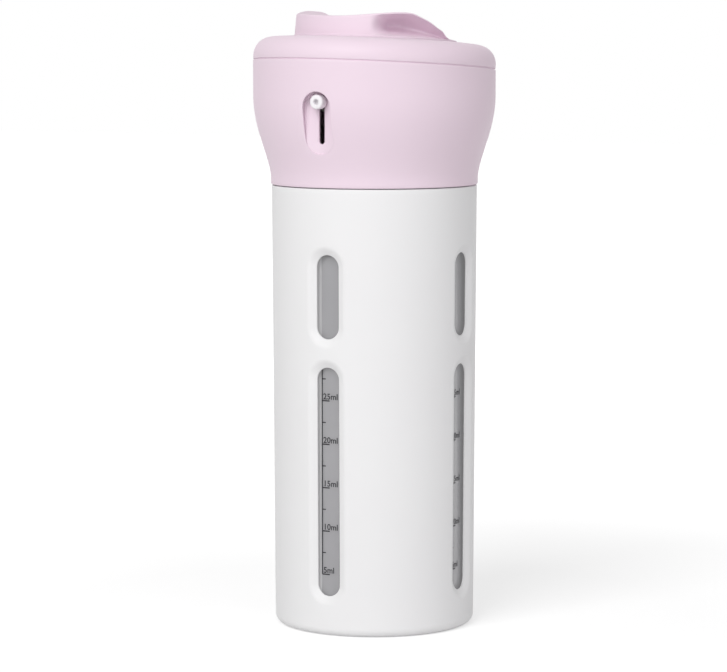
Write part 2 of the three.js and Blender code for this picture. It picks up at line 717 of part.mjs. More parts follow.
function spoutNozzle() {
  const plug = forwardBar(PLUG_RADIUS, armReach - SOCKET_LENGTH + SEAT_GAP, armReach + 1.2, spoutHeight);
  const tipBack = recessFloor + SEAT_GAP;
  const tip = revolve([
    [0, tipBack],
    [NOZZLE_RADIUS, tipBack],
    [NOZZLE_RADIUS, nozzleReach - 0.5],
    [NOZZLE_RADIUS - 0.5, nozzleReach],
    [0, nozzleReach],
  ], SMALL_FACES).rotateX(Math.PI / 2).translate(0, 0, spoutHeight);
  const webShape = oblongShape(WEB_WIDTH / 2, spoutHeight - WEB_HEIGHT / 2, spoutHeight + WEB_HEIGHT / 2);
  const web = forwardPrism(webShape, armReach, recessFloor + 1);
  const channel = forwardBar(WEB_BORE, armReach - SOCKET_LENGTH, nozzleReach, spoutHeight, 8);
  const mouth = forwardBar(NOZZLE_BORE, nozzleReach - 2, nozzleReach + 1, spoutHeight, 12);
  return cut(join(plug, tip, web), channel, mouth);
}

function driveShaft() {
  const cup = disc(SHAFT_CUP_RADIUS, shaftCupBottom, shaftCupBottom + SHAFT_CUP_HEIGHT, SMALL_FACES);
  const rod = box(SHAFT_WIDTH, SHAFT_WIDTH, columnTop - SHAFT_OVERLAP, shaftCupBottom + 1);
  const socketWidth = TONGUE_WIDTH + 2 * TURN_GAP;
  const socketBottom = seamHeight - TONGUE_REACH - TURN_GAP;
  const socket = box(socketWidth, socketWidth, socketBottom, shaftCupBottom + SHAFT_CUP_HEIGHT + 1);
  return cut(join(cup, rod), socket);
}

function outletBall() {
  return new THREE.SphereGeometry(BALL_RADIUS, 12, 8).translate(0, -(armReach + BODY_RADIUS) / 2, spoutHeight);
}

// Materials

const WHITE = { color: 0xf0eff0, roughness: 0.4 };
const PINK = { color: 0xe8d2df, roughness: 0.38 };
const CLEAR = { color: 0xc3c4c6, roughness: 0.15, transparent: true, opacity: 0.45 };
const NATURAL = { color: 0xe2e2de, roughness: 0.5 };
const RUBBER = { color: 0x8b8d90, roughness: 0.8 };
const STEEL = { color: 0xb9bcc0, roughness: 0.3, metalness: 1 };

function piece(name, geometry, look) {
  const mesh = new THREE.Mesh(geometry, new THREE.MeshStandardMaterial(look));
  mesh.name = name;
  return mesh;
}

// Assembly

const base = new THREE.Group();
base.add(
  piece('outer_sleeve', outerSleeve(), WHITE),
  piece('sleeve_collar', sleeveCollar(), WHITE),
);

const head = new THREE.Group();
head.add(
  piece('head_shell', headShell(), PINK),
  piece('pump_deck', pumpDeck(), WHITE),
  piece('manifold', manifold(), NATURAL),
  piece('valve_seal', valveSeal(), RUBBER),
  piece('pump_barrel', pumpBarrel(), NATURAL),
  piece('return_spring', returnSpring(), STEEL),
  piece('valve_disc', valveDisc(), NATURAL),
);
['front', 'right', 'back', 'left'].forEach((side, index) => {
  const refill = new THREE.Group();
  refill.rotation.z = bottlePlaces()[index];
  const stand = new THREE.Group();
  stand.position.y = -BOTTLE_CIRCLE;
  stand.add(
    piece(`refill_bottle_${side}`, refillBottle(), CLEAR),
    piece(`bottle_cap_${side}`, bottleCap(), WHITE),
    piece(`neck_seal_${side}`, neckSeal(), RUBBER),
    piece(`dip_tube_${side}`, dipTube(), NATURAL),
  );
  refill.add(stand);
  head.add(refill);
});

const carriage = new THREE.Group();
carriage.add(
  piece('press_carriage', pressCarriage(), NATURAL),
  piece('piston_seal', pistonSeal(), RUBBER),
  piece('spout_nozzle', spoutNozzle(), WHITE),
  piece('outlet_ball', outletBall(), STEEL),
  piece('drive_shaft', driveShaft(), NATURAL),
);

const slanted = new THREE.Group();
slanted.applyMatrix4(lidFrame);
slanted.add(
  piece('top_lid', topLid(), PINK),
  piece('selector_knob', selectorKnob(), PINK),
);

const dispenser = new THREE.Group();
dispenser.add(base, head, carriage, slanted);

export default dispenser;
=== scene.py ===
import math

import bmesh
import bpy
import numpy as np
from mathutils import Matrix, Vector


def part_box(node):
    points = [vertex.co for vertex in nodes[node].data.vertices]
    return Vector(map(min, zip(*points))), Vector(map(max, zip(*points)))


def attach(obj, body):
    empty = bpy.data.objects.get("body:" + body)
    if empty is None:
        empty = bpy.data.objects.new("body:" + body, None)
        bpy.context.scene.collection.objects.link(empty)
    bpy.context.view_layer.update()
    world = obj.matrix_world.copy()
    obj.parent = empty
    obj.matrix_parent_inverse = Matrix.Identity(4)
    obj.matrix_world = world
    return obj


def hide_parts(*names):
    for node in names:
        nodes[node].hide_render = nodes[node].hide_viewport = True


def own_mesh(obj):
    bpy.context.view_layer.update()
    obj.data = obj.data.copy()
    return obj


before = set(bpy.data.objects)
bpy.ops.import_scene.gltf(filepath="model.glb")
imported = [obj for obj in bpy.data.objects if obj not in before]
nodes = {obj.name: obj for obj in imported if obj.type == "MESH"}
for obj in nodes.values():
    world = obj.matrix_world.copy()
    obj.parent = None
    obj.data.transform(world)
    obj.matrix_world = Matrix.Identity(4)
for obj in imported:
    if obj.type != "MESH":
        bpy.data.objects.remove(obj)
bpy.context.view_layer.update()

MM = 0.001
MERGE_DISTANCE = 0.004 * MM
SHORTEST_EDGE = 0.002 * MM
SAME_ANGLE = 1e-9

# Sizes of the outside, in millimetres

SLEEVE_BASE_RADIUS = 34.95
SLEEVE_TOP_RADIUS = 35.9
SLEEVE_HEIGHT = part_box("outer_sleeve")[1].z / MM
SLEEVE_WALL = 2.0
SLEEVE_CORNER = 3.0
SLEEVE_LIP = 0.4
SLEEVE_FLOOR = 2.0
FOOT_RECESS = 0.8
FOOT_RING_WIDTH = 4.0
FOOT_EDGE = 0.3
FLOOR_CORNER = 0.4
LIP_BEVEL = 0.2
FINE_EDGE = 0.1

WINDOW_WIDTH = 8.6
LOW_WINDOW = (13.7, 93.2)
HIGH_WINDOW = (102.9, 131.9)
WINDOW_FLARE_WIDTH = 3.3
WINDOW_FLARE_ROUNDING = 0.45
WINDOW_FLARE_DEPTH = 1.6
WINDOW_FLARE_STEP = 0.05
WINDOW_FLARE_EDGE = 0.12
WINDOW_DEPTH = 2.1
WINDOW_FRAME = 1.2
# How far the plain wall's rings stop before an opening, outside and inside
OUTER_MARGIN = 0.5
INNER_MARGIN = 0.4

HEAD_NECK_RADIUS = 36.2
HEAD_RADIUS = 42.3
HEAD_WALL = 1.9
# Rounded edges, as pairs of inset from the wall and distance along it
HEAD_EDGE = ((0.0, 0.25), (0.08, 0.07), (0.25, 0.0))
LID_EDGE = ((0.25, 0.0), (0.07, 0.07), (0.0, 0.25))
SKIRT_EDGE = ((0.0, 0.3), (0.1, 0.08), (0.35, 0.0))

HEAD_TOP_DEPTH = 3.0
SKIRT_BOTTOM = SLEEVE_HEIGHT + 0.3
SKIRT_BORE = 33.9
WALL_BOTTOM = SKIRT_BOTTOM + 0.3
FLARE_BOTTOM = SLEEVE_HEIGHT + 2
FLARE_TOP = FLARE_BOTTOM + 29
FLARE_LOW_PULL = 7
FLARE_HIGH_PULL = 12
LEDGE_HEIGHT = SLEEVE_HEIGHT + 9.3
INNER_TOP = FLARE_TOP + 3
SEAM_HEIGHT = SLEEVE_HEIGHT + 42
SEAM_TILT = math.radians(3.45)
SEAM_LOW_SIDE = math.radians(165)
SEAM_GAP = 0.3

SPOUT_HEIGHT = (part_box("spout_nozzle")[0].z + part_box("spout_nozzle")[1].z) / 2 / MM
SPOUT_RADIUS = 2.45
SPOUT_REACH = 42.0
SPOUT_ROUNDING = 0.6
SPOUT_GAP = 0.3
SPOUT_BORE = 0.95
SPOUT_BORE_EDGE = 0.2
SPOUT_BORE_DEPTH = 2
WEB_HALF_WIDTH = 0.75
WEB_HALF_HEIGHT = 1.8
WEB_START = 30.5
WEB_OVERLAP = 0.5

RECESS_HALF_WIDTH = 5.3
RECESS_SPAN = (SPOUT_HEIGHT - 17.9, SPOUT_HEIGHT + 3.5)
RECESS_FLOOR = 38.5
RECESS_WALL = 1.6
RECESS_LEAST_DEPTH = 0.12
RECESS_EDGE = 0.4
RECESS_VALLEY = 1.1
# The recess's rounded rim, as pairs of how far its outline grows and the depth there
RECESS_RIM = ((0.3, 0.03), (0.12, 0.08), (0.04, 0.11))
RECESS_FLOOR_EDGE = 0.05
RECESS_FLOOR_START = 0.25
# The groove under the recess's rim, as pairs of share of the recess's depth and of the groove's
GROOVE_SECTION = ((0.26, 0), (0.28, 1), (0.62, 1), (0.64, 0))
GROOVE_START = 0.03
GROOVE_DEPTH = 0.9
GROOVE_FULL_DEPTH = 2
SLIT_HALF_WIDTH = 1.05
SLIT_SPAN = (SPOUT_HEIGHT - 14.4, SPOUT_HEIGHT + 2.4)
SLIT_EDGE = 0.15
SLIT_BACK_EDGE = 0.1

LID_HEIGHT = 10.0
LID_DROP = 1.8
LID_TOP = LID_HEIGHT - LID_DROP
LID_DOME = 0.3
LID_SHOULDER = 6.5
LID_WALL = 1.9
PLUG_GAP = 0.3
PLUG_WALL = 1.6
PLUG_DEPTH = 3
SEAM_LINE_DEPTH = 0.4
SEAM_LINE_HEIGHT = 0.28
OPENING_RADIUS = 29.5
OPENING_EDGE = 0.5
OPENING_EDGE_MIDDLE = 0.15
OPENING_DEPTH = 7
OPENING_WALL = 1.5

KNOB_RADIUS = 28.5
KNOB_BASE = LID_HEIGHT - 0.3
KNOB_PLATE_TOP = KNOB_BASE - 0.7
KNOB_PLATE_EDGE = 0.3
KNOB_PLATE_BEVEL = 0.08
KNOB_SKIRT_WALL = 1.9
KNOB_SKIRT_DEPTH = 6
KNOB_SLOPE_WIDTH = 3
KNOB_SLOPE_DROP = 1.7
KNOB_RIM_EDGE = 0.5
KNOB_LOW_RIM_EDGE = 0.4
KNOB_TAPER = 0.05
KNOB_DISH = 5.0
KNOB_DISH_CURVE = 3.0
KNOB_FALL_CURVE = 1.1
BEAK_START = 24
BEAK_FULL = 42
BEAK_END = 92
BEAK_UNDERCUT = 1.3

# Heights of the knob's rim over its plate, as (azimuth, height), round from the foot of the beak
RIM_STATIONS = (
    (95, 0.15), (125, 0.2), (150, 1.0), (185, 2.5), (210, 4.2), (228, 6.0), (243, 7.7), (252, 9.0),
    (262, 9.15), (273, 8.9), (285, 8.1), (300, 7.2), (320, 6.8), (335, 6.5), (350, 6.25), (365, 6.3),
    (380, 6.9), (395, 7.7), (406, 8.15), (415, 8.0), (422, 6.9), (430, 5.5), (438, 3.7), (444, 2.6),
    (449, 0.9), (455, 0.15))

# Where the knob's rings lie: up its side, round its edge in degrees, and in over its top
KNOB_SIDE_SHARES = np.linspace(0.06, 1.0, 18)
KNOB_ROUNDING_TURNS = (30, 60, 90)
KNOB_TOP_SHARES = np.linspace(0.96, 0.0, 24)

BOTTLE_TURNS = {"front": 0.0, "right": math.pi / 2, "back": math.pi, "left": -math.pi / 2}
BOTTLE_RADIUS = 11.5
BOTTLE_CIRCLE = 20.0
BOTTLE_SQUARENESS = 4.5
BOTTLE_BODY = 12.1
BOTTLE_REACH = 32.1
BOTTLE_SIDE_GAP = 0.35
BOTTLE_CORNER = 2.2
BOTTLE_WALL = 1.2
BOTTLE_NECK = 7.2
BOTTLE_NECK_HEIGHT = 9.1
BOTTLE_NECK_EDGE = 0.3
SHOULDER_RISE = 1.8
SHOULDER_STEPS = 8
THROAT_ROOM = 0.6

SCALE_MARKS = 5
SCALE_VOLUME_STEP = 5
SCALE_STEP = 15.1
SCALE_FIRST = 21.1
SCALE_LINE = -3.13
SCALE_LINE_WIDTH = 0.42
SCALE_LINE_OVERLAP = 1.5
SCALE_TICK = (1.4, 0.2)
SCALE_UNDERLINE = (2.9, 0.22)
SCALE_TEXT_SIZE = 2.9
SCALE_TEXT_BOLDNESS = 0.05
SCALE_TEXT_PLACE = (0.4, 0.5)
SCALE_SKIN = 0.06
SCALE_COLUMNS = 6
SCALE_ROWS = 12

SPRING_RADIUS = 12.0
SPRING_WIRE = 0.55
SPRING_TURNS = 7.5
SPRING_TURN_STEPS = 48
SPRING_WIRE_SIDES = 12
SPRING_END_RISE = 1.1

# How finely the wall's sectors and the round pieces are divided
ARC_STEPS = 48
SIDE_STEPS = 20
SECTOR_STEPS = ARC_STEPS // 2
ROUND_STEPS = SECTOR_STEPS * 4
FLARE_STEPS = 60
LATHE_STEPS = 192
KNOB_STEPS = 360
BOTTLE_STEPS = 96
SPOUT_STEPS = 64
HALF_SECTOR = math.pi / 4

# The lid and knob lean to the seam's low side about the centre of the seam
LEAN_LINE = Vector((math.cos(SEAM_LOW_SIDE), math.sin(SEAM_LOW_SIDE), 0))
SLANT = Matrix.Translation((0, 0, SEAM_HEIGHT)) @ Matrix.Rotation(SEAM_TILT, 4, LEAN_LINE)
LID_AXIS = (SLANT.to_3x3() @ Vector((0, 0, 1))).normalized()


# Mesh helpers. Points are in millimetres and become metres in the mesh.

def new_mesh(name, points, faces, sharp_angle=35):
    """A mesh object of these points and faces, with doubled points merged and smooth faces."""
    mesh = bpy.data.meshes.new(name)
    mesh.from_pydata([tuple(c * MM for c in p) for p in points], [], faces)
    bm = bmesh.new()
    bm.from_mesh(mesh)
    bmesh.ops.remove_doubles(bm, verts=bm.verts, dist=MERGE_DISTANCE)
    bmesh.ops.dissolve_degenerate(bm, dist=SHORTEST_EDGE, edges=bm.edges)
    bmesh.ops.recalc_face_normals(bm, faces=bm.faces)
    limit = math.radians(sharp_angle)
    for edge in bm.edges:
        edge.smooth = len(edge.link_faces) != 2 or edge.calc_face_angle(0) < limit
    for face in bm.faces:
        face.smooth = True
    bm.to_mesh(mesh)
    bm.free()
    piece = bpy.data.objects.new(name, mesh)
    bpy.context.scene.collection.objects.link(piece)
    return piece


class Sheet:
    """Points and faces collected from strips of quads."""

    def __init__(self):
        self.points = []
        self.faces = []

    def strip(self, rings, closed=True):
        """Quads between neighbouring rings, which all have the same number of points."""
        first = len(self.points)
        count = len(rings[0])
        for ring in rings:
            self.points.extend(ring)
        for level in range(len(rings) - 1):
            for i in range(count if closed else count - 1):
                a = first + level * count + i
                b = first + level * count + (i + 1) % count
                self.faces.append((a, b, b + count, a + count))

    def cap(self, ring):
        """One flat face over a ring."""
        first = len(self.points)
        self.points.extend(ring)
        self.faces.append(tuple(range(first, first + len(ring))))

    def moved(self, matrix):
        self.points = [tuple(matrix @ Vector(p)) for p in self.points]
        return self


def circle_points(radius, height, count=LATHE_STEPS):
    """A ring of points round the upright axis, from the front towards the right."""
    turns = [2 * math.pi * i / count for i in range(count)]
    return [(radius * math.sin(turn), -radius * math.cos(turn), height) for turn in turns]


def circles(profile, count):
    return [circle_points(radius, height, count) for radius, height in profile]


def lathe(profile, count=LATHE_STEPS):
    """A closed body turned from (radius, height) points. Ends on the axis are closed by the merge."""
    sheet = Sheet()
    sheet.strip([circle_points(max(radius, 0.0), height, count) for radius, height in profile])
    return sheet


def arc(centre_radius, centre_height, radius, start, end, steps):
    """Points of an arc, with its angles in degrees."""
    turns = [math.radians(start + (end - start) * i / steps) for i in range(steps + 1)]
    return [(centre_radius + radius * math.cos(turn), centre_height + radius * math.sin(turn))
            for turn in turns]


def oblong(half_width, bottom, top, grow=0.0):
    """An upright outline with round ends, as (x, z) points, anticlockwise from its lower right."""
    half = half_width + grow
    low, high = bottom + half_width, top - half_width
    points = []
    for i in range(SIDE_STEPS):
        points.append((half, low + (high - low) * i / SIDE_STEPS))
    for i in range(ARC_STEPS):
        turn = math.pi * i / ARC_STEPS
        points.append((half * math.cos(turn), high + half * math.sin(turn)))
    for i in range(SIDE_STEPS):
        points.append((-half, high - (high - low) * i / SIDE_STEPS))
    for i in range(ARC_STEPS):
        turn = math.pi * i / ARC_STEPS
        points.append((-half * math.cos(turn), low - half * math.sin(turn)))
    return points


def sector_border(bottom, top, corner_share=0.16):
    """The border of a quarter of the wall, as (azimuth, height) points that match oblong's."""
    quarter = ARC_STEPS // 4
    side = []
    for i in range(quarter):
        side.append(corner_share * i / quarter)
    for i in range(SIDE_STEPS):
        side.append(corner_share + (1 - 2 * corner_share) * i / SIDE_STEPS)
    for i in range(quarter + 1):
        side.append(1 - corner_share + corner_share * i / quarter)
    middle = [HALF_SECTOR * (1 - i / quarter) for i in range(2 * quarter + 1)]
    right = [(HALF_SECTOR, share) for share in side]
    upper = [(turn, 1.0) for turn in middle[1:]]
    left = [(-HALF_SECTOR, share) for share in reversed(side[:-1])]
    lower = [(-turn, 0.0) for turn in middle[1:-1]]
    loop = right + upper + left + lower
    loop = loop[quarter:] + loop[:quarter]
    return [(turn, bottom + (top - bottom) * share) for turn, share in loop]


def between(one, other, share):
    """The ring that lies this share of the way from one ring to the other."""
    return [tuple(a + (b - a) * share for a, b in zip(p, q)) for p, q in zip(one, other)]


def rings_between(one, other, steps):
    return [between(one, other, i / steps) for i in range(steps + 1)]


# Sleeve. Its points are (azimuth, height, depth under the outer face) until they are placed.

def sleeve_radius(height):
    return SLEEVE_BASE_RADIUS + (SLEEVE_TOP_RADIUS - SLEEVE_BASE_RADIUS) * height / SLEEVE_HEIGHT


def from_polar(point, turn):
    azimuth, z, depth = point
    reach = sleeve_radius(z) - depth
    return reach * math.sin(azimuth + turn), -reach * math.cos(azimuth + turn), z


def window_outline(window, grow, depth):
    outline = oblong(WINDOW_WIDTH / 2, *window, grow=grow)
    return [(math.asin(x / (sleeve_radius(z) - depth)), z, depth) for x, z in outline]


def window_flare(steps=20):
    """The flare's section as (grow, depth), rounded at its rim and then straight to the hole."""
    flare = []
    for i in range(steps + 1):
        share = i / steps
        if share < WINDOW_FLARE_ROUNDING:
            sunk = share * share / (2 * WINDOW_FLARE_ROUNDING)
        else:
            sunk = share - WINDOW_FLARE_ROUNDING / 2
        depth = WINDOW_FLARE_DEPTH * sunk / (1 - WINDOW_FLARE_ROUNDING / 2)
        flare.append((WINDOW_FLARE_WIDTH * (1 - share), depth))
    return flare


def window_cell(window, bottom, top):
    """Rings from the outer wall's border, over the flare and through the hole, to the inner wall's."""
    border = sector_border(bottom, top)
    outer = [(turn, z, 0.0) for turn, z in border]
    inner = [(turn, z, SLEEVE_WALL) for turn, z in border]
    rim = window_outline(window, WINDOW_FLARE_WIDTH + OUTER_MARGIN, 0.0)
    frame_edge = window_outline(window, WINDOW_FRAME + INNER_MARGIN, SLEEVE_WALL)
    through = window_flare() + [
        (-WINDOW_FLARE_STEP, WINDOW_FLARE_DEPTH + WINDOW_FLARE_EDGE),
        (-WINDOW_FLARE_STEP, WINDOW_DEPTH - FINE_EDGE), (FINE_EDGE, WINDOW_DEPTH),
        (WINDOW_FRAME, WINDOW_DEPTH), (WINDOW_FRAME + FINE_EDGE, SLEEVE_WALL + FINE_EDGE)]
    hole = [window_outline(window, grow, depth) for grow, depth in through]
    return rings_between(outer, rim, 10) + hole + rings_between(frame_edge, inner, 5)


def outer_sleeve():
    """The white sleeve, with its flared windows, corner, recessed underside and floor."""
    sheet = Sheet()
    split = (LOW_WINDOW[1] + HIGH_WINDOW[0]) / 2
    wall_top = SLEEVE_HEIGHT - SLEEVE_LIP
    cells = [window_cell(LOW_WINDOW, SLEEVE_CORNER, split), window_cell(HIGH_WINDOW, split, wall_top)]
    for turn in BOTTLE_TURNS.values():
        for rings in cells:
            sheet.strip([[from_polar(p, turn) for p in ring] for ring in rings])
    low_radius = sleeve_radius(SLEEVE_CORNER)
    recess = SLEEVE_BASE_RADIUS - SLEEVE_CORNER - FOOT_RING_WIDTH
    under = [(low_radius - SLEEVE_CORNER * (1 - math.cos(t)), SLEEVE_CORNER * (1 - math.sin(t)))
             for t in [math.pi / 2 * i / 10 for i in range(11)]]
    under += [(recess + FOOT_RECESS + FOOT_EDGE, 0), (recess + FOOT_RECESS, FINE_EDGE),
              (recess, FOOT_RECESS), (0, FOOT_RECESS)]
    sheet.strip(circles(under, ROUND_STEPS))
    floor_top = FOOT_RECESS + SLEEVE_FLOOR
    inside = low_radius - SLEEVE_WALL
    floor = [(inside, SLEEVE_CORNER), (inside - FLOOR_CORNER, floor_top), (0, floor_top)]
    sheet.strip(circles(floor, ROUND_STEPS))
    high_radius = sleeve_radius(wall_top)
    bore = high_radius - SLEEVE_WALL
    lip = [(high_radius, wall_top), (high_radius - FINE_EDGE, SLEEVE_HEIGHT - FINE_EDGE),
           (high_radius - SLEEVE_LIP, SLEEVE_HEIGHT), (bore + LIP_BEVEL, SLEEVE_HEIGHT), (bore, wall_top)]
    sheet.strip(circles(lip, ROUND_STEPS))
    return new_mesh("sleeve_visual", sheet.points, sheet.faces, sharp_angle=50)


# Head shell

def flare_curve(share):
    """The head's outline from its neck to its full width, as a point of a Bezier curve."""
    pulls = ((HEAD_NECK_RADIUS, FLARE_BOTTOM), (HEAD_NECK_RADIUS, FLARE_BOTTOM + FLARE_LOW_PULL),
             (HEAD_RADIUS, FLARE_TOP - FLARE_HIGH_PULL), (HEAD_RADIUS, FLARE_TOP))
    weights = ((1 - share) ** 3, 3 * share * (1 - share) ** 2, 3 * share ** 2 * (1 - share), share ** 3)
    return tuple(sum(w * p[k] for w, p in zip(weights, pulls)) for k in range(2))


FLARE_LINE = [flare_curve(i / FLARE_STEPS) for i in range(FLARE_STEPS + 1)]
FLARE_HEIGHTS = [p[1] for p in FLARE_LINE]
FLARE_RADII = [p[0] for p in FLARE_LINE]


def head_radius(height):
    return float(np.interp(height, FLARE_HEIGHTS, FLARE_RADII))


def seam_height(azimuth):
    """The height of the slanted seam plane over a point of the head's wall."""
    x, y = HEAD_RADIUS * math.sin(azimuth), -HEAD_RADIUS * math.cos(azimuth)
    return SEAM_HEIGHT - (LID_AXIS.x * x + LID_AXIS.y * y) / LID_AXIS.z


def wall_height(azimuth):
    """How high the head's outer wall reaches over its bottom, below the rounded top edge."""
    return seam_height(azimuth) - SEAM_GAP - HEAD_EDGE[0][1] - WALL_BOTTOM


def head_point(azimuth, share):
    """A point of the head's wall, from its skirt (share 0) to the seam (share 1)."""
    z = WALL_BOTTOM + wall_height(azimuth) * share
    reach = head_radius(z)
    return reach * math.sin(azimuth), -reach * math.cos(azimuth), z


def inner_point(azimuth, share):
    """A point of the head's inner wall, from the ledge (share 0) to the straight part (share 1)."""
    z = LEDGE_HEIGHT + (INNER_TOP - LEDGE_HEIGHT) * share
    reach = head_radius(z) - HEAD_WALL
    return reach * math.sin(azimuth), -reach * math.cos(azimuth), z


def head_y(x, z):
    """Where the head's front lies over (x, z)."""
    return -math.sqrt(head_radius(z) ** 2 - x * x)


def recess_outline(grow):
    return oblong(RECESS_HALF_WIDTH, *RECESS_SPAN, grow=grow)


def slit_outline(grow=0.0):
    return oblong(SLIT_HALF_WIDTH, *SLIT_SPAN, grow=grow)


def recess_edge(grow, depth):
    return [(x, head_y(x, z) + depth, z) for x, z in recess_outline(grow)]


def recess_groove(share, wide):
    """A ring of the fine groove under the recess's rim, which fades out where the recess is shallow."""
    points = []
    for (x, z), (far_x, far_z) in zip(recess_outline(GROOVE_START), recess_outline(GROOVE_DEPTH)):
        deep = max(head_y(x, z) + RECESS_LEAST_DEPTH, -RECESS_FLOOR) - head_y(x, z)
        out = wide * min(1, deep / GROOVE_FULL_DEPTH)
        x, z = x + (far_x - x) * out, z + (far_z - z) * out
        points.append((x, head_y(x, z) + share * deep, z))
    return points


def recess_floor(points, back=0.0):
    """Puts (x, z) points on the recess's floor, which sinks in a shallow V towards the slit."""
    placed = []
    for x, z in points:
        aside = max(0, abs(x) - SLIT_HALF_WIDTH) / (RECESS_HALF_WIDTH - SLIT_HALF_WIDTH)
        deep = RECESS_VALLEY * (1 - min(1, aside)) - RECESS_EDGE - RECESS_FLOOR
        placed.append((x, max(head_y(x, z) + RECESS_LEAST_DEPTH, deep) + back, z))
    return placed


def recess_rings():
    """Rings from the border of the head's front sector, into the spout recess and through its slit."""
    border = sector_border(0.0, 1.0)
    rim = []
    for x, z in recess_outline(OUTER_MARGIN):
        azimuth = math.asin(x / head_radius(z))
        rim.append((azimuth, (z - WALL_BOTTOM) / wall_height(azimuth)))
    rings = [[head_point(a, s) for a, s in ring] for ring in rings_between(border, rim, 12)]
    rings += [recess_edge(grow, depth) for grow, depth in RECESS_RIM]
    rings += [recess_groove(share, wide) for share, wide in GROOVE_SECTION]
    rings.append(recess_floor(recess_outline(0.0), -RECESS_LEAST_DEPTH))
    rings.append(recess_floor(recess_outline(-RECESS_FLOOR_EDGE)))
    slit = slit_outline()
    floor = rings_between(recess_outline(-RECESS_FLOOR_START), slit, 5)[:-1]
    rings += [recess_floor(ring) for ring in floor + [slit_outline(SLIT_EDGE)]]
    rings.append(recess_floor(slit, SLIT_EDGE))
    back = -RECESS_FLOOR + RECESS_WALL
    boss = recess_outline(RECESS_WALL)
    rings.append([(x, back - SLIT_BACK_EDGE, z) for x, z in slit])
    rings.append([(x, back, z) for x, z in slit_outline(SLIT_BACK_EDGE)])
    rings.append([(x, back, z) for x, z in boss])
    inner_height = INNER_TOP - LEDGE_HEIGHT
    on_wall = [(math.asin(x / (head_radius(z) - HEAD_WALL)), (z - LEDGE_HEIGHT) / inner_height)
               for x, z in boss]
    rings += [[inner_point(a, s) for a, s in ring] for ring in rings_between(on_wall, border, 6)]
    return rings


def head_shell():
    """The pink head: necked skirt, S-shaped flare, slanted top edge and the spout recess."""
    sheet = Sheet()
    sheet.strip(recess_rings())
    border = sector_border(0.0, 1.0)
    shares = sorted({round(share, 9) for turn, share in border if abs(turn - HALF_SECTOR) < SAME_ANGLE})
    steps = SECTOR_STEPS * 3
    turns = [HALF_SECTOR + math.pi * 1.5 * i / steps for i in range(steps + 1)]
    sheet.strip([[head_point(turn, share) for turn in turns] for share in shares], closed=False)
    sheet.strip([[inner_point(turn, share) for turn in turns] for share in shares], closed=False)
    skirt = [(HEAD_NECK_RADIUS - inset, SKIRT_BOTTOM + rise) for inset, rise in SKIRT_EDGE]
    skirt += [(SKIRT_BORE, SKIRT_BOTTOM), (SKIRT_BORE, LEDGE_HEIGHT)]
    rings = circles(skirt, ROUND_STEPS)
    sheet.strip(rings)
    around = [2 * math.pi * i / ROUND_STEPS for i in range(ROUND_STEPS)]
    sheet.strip([[inner_point(turn, 0.0) for turn in around], rings[-1]])
    top = []
    for inset, drop in HEAD_EDGE + ((HEAD_WALL, 0.0), (HEAD_WALL, HEAD_TOP_DEPTH)):
        reach = HEAD_RADIUS - inset
        top.append([(reach * math.sin(turn), -reach * math.cos(turn), seam_height(turn) - SEAM_GAP - drop)
                    for turn in around])
    top.append(circle_points(HEAD_RADIUS - HEAD_WALL, INNER_TOP, ROUND_STEPS))
    sheet.strip(top)
    return new_mesh("head_visual", sheet.points, sheet.faces, sharp_angle=42)


# Lid and knob

def top_lid():
    """The slanted pink lid, with its round shoulder and the knob's opening."""
    shoulder = HEAD_RADIUS - LID_SHOULDER
    base = LID_TOP - LID_DOME - LID_SHOULDER
    plug = HEAD_RADIUS - LID_WALL - PLUG_GAP
    line = HEAD_RADIUS - SEAM_LINE_DEPTH
    mouth = OPENING_RADIUS + OPENING_EDGE
    profile = [(plug, -SEAM_LINE_HEIGHT), (line, -SEAM_LINE_HEIGHT), (line, 0)]
    profile += [(HEAD_RADIUS - inset, rise) for inset, rise in LID_EDGE]
    profile += arc(shoulder, base, LID_SHOULDER, 0, 90, 16)
    profile += [(shoulder + (mouth - shoulder) * t, LID_TOP - LID_DOME * (1 - t) ** 2)
                for t in [i / 6 for i in range(1, 7)]]
    profile += [(OPENING_RADIUS + OPENING_EDGE_MIDDLE, LID_TOP - OPENING_EDGE_MIDDLE),
                (OPENING_RADIUS, LID_TOP - OPENING_EDGE),
                (OPENING_RADIUS, LID_HEIGHT - OPENING_DEPTH),
                (OPENING_RADIUS + OPENING_WALL, LID_HEIGHT - OPENING_DEPTH),
                (OPENING_RADIUS + OPENING_WALL, LID_TOP - LID_DOME - LID_WALL)]
    profile += arc(shoulder, base, LID_SHOULDER - LID_WALL, 90, 20, 6)
    profile += [(plug - PLUG_WALL, 0), (plug - PLUG_WALL, -PLUG_DEPTH), (plug, -PLUG_DEPTH),
                (plug, -SEAM_LINE_HEIGHT)]
    sheet = lathe(profile).moved(SLANT)
    return new_mesh("lid_visual", sheet.points, sheet.faces, sharp_angle=50)


def rim_height(azimuth):
    """A smooth curve through the rim's stations."""
    first = RIM_STATIONS[0][0]
    angle = first + (azimuth - first) % 360
    spots = [(a - 360, r) for a, r in RIM_STATIONS[-2:-1]] + list(RIM_STATIONS)
    spots += [(a + 360, r) for a, r in RIM_STATIONS[1:2]]
    for before, low, high, after in zip(spots, spots[1:], spots[2:], spots[3:]):
        if low[0] <= angle <= high[0]:
            span = high[0] - low[0]
            t = (angle - low[0]) / span
            low_slope = (high[1] - before[1]) / (high[0] - before[0]) * span
            high_slope = (after[1] - low[1]) / (after[0] - low[0]) * span
            return ((2 * t ** 3 - 3 * t ** 2 + 1) * low[1] + (t ** 3 - 2 * t ** 2 + t) * low_slope
                    + (3 * t ** 2 - 2 * t ** 3) * high[1] + (t ** 3 - t ** 2) * high_slope)
    return RIM_STATIONS[0][1]


